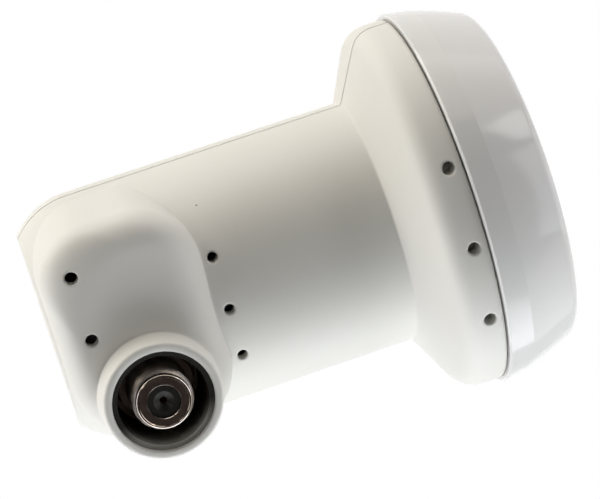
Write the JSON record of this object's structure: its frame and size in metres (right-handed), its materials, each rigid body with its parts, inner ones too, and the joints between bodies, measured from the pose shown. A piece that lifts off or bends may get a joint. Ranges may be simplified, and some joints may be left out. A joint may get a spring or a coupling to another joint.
{
  "type": "satellite lnb",
  "caption": "Satellite dish LNB: round plastic neck, flared collar with a glossy radome cap, and a connector box with a threaded F connector deep in a boot.",
  "frame": {"origin": "on the feed axis, at the middle of the neck that the dish arm's clamp holds", "axes": "+X along the feed axis out of the radome cap, -Y out of the F connector, +Z across and up in the picture"},
  "size_m": [0.0806, 0.0624, 0.0624],
  "materials": {
    "cover_plastic": "fine moulded texture, off-white",
    "cap_plastic": "smooth and glossy, off-white",
    "black_rubber": "matt black",
    "cast_aluminium": "as cast",
    "board_laminate": "green solder resist",
    "probe_brass": "gold-plated brass",
    "chip_plastic": "black moulding compound",
    "crystal_steel": "plated steel can",
    "choke_ferrite": "dark ferrite",
    "capacitor_ceramic": "tan ceramic",
    "shielding_rubber": "dark grey conductive rubber",
    "screw_steel": "zinc-plated steel",
    "connector_nickel": "bright nickel plate",
    "insulator_plastic": "dark brown-black insulator"
  },
  "bodies": {
    "root": {"lower_cover": "cover_plastic", "upper_cover": "cover_plastic", "radome_cap": "cap_plastic", "radome_seal": "black_rubber", "horn_casting": "cast_aluminium", "circuit_board": "board_laminate", "vertical_probe": "probe_brass", "horizontal_probe": "probe_brass", "input_transistors": "chip_plastic", "second_transistor": "chip_plastic", "converter_chip": "chip_plastic", "reference_crystal": "crystal_steel", "voltage_regulator": "chip_plastic", "feed_choke": "choke_ferrite", "board_capacitors": "capacitor_ceramic", "shield_lid": "cast_aluminium", "lid_gasket": "shielding_rubber", "lid_screws": "screw_steel", "f_connector_body": "connector_nickel", "f_connector_front_insulator": "insulator_plastic", "f_connector_rear_insulator": "insulator_plastic", "f_connector_contact": "probe_brass", "f_connector_gasket": "black_rubber"}
  },
  "joints": []
}
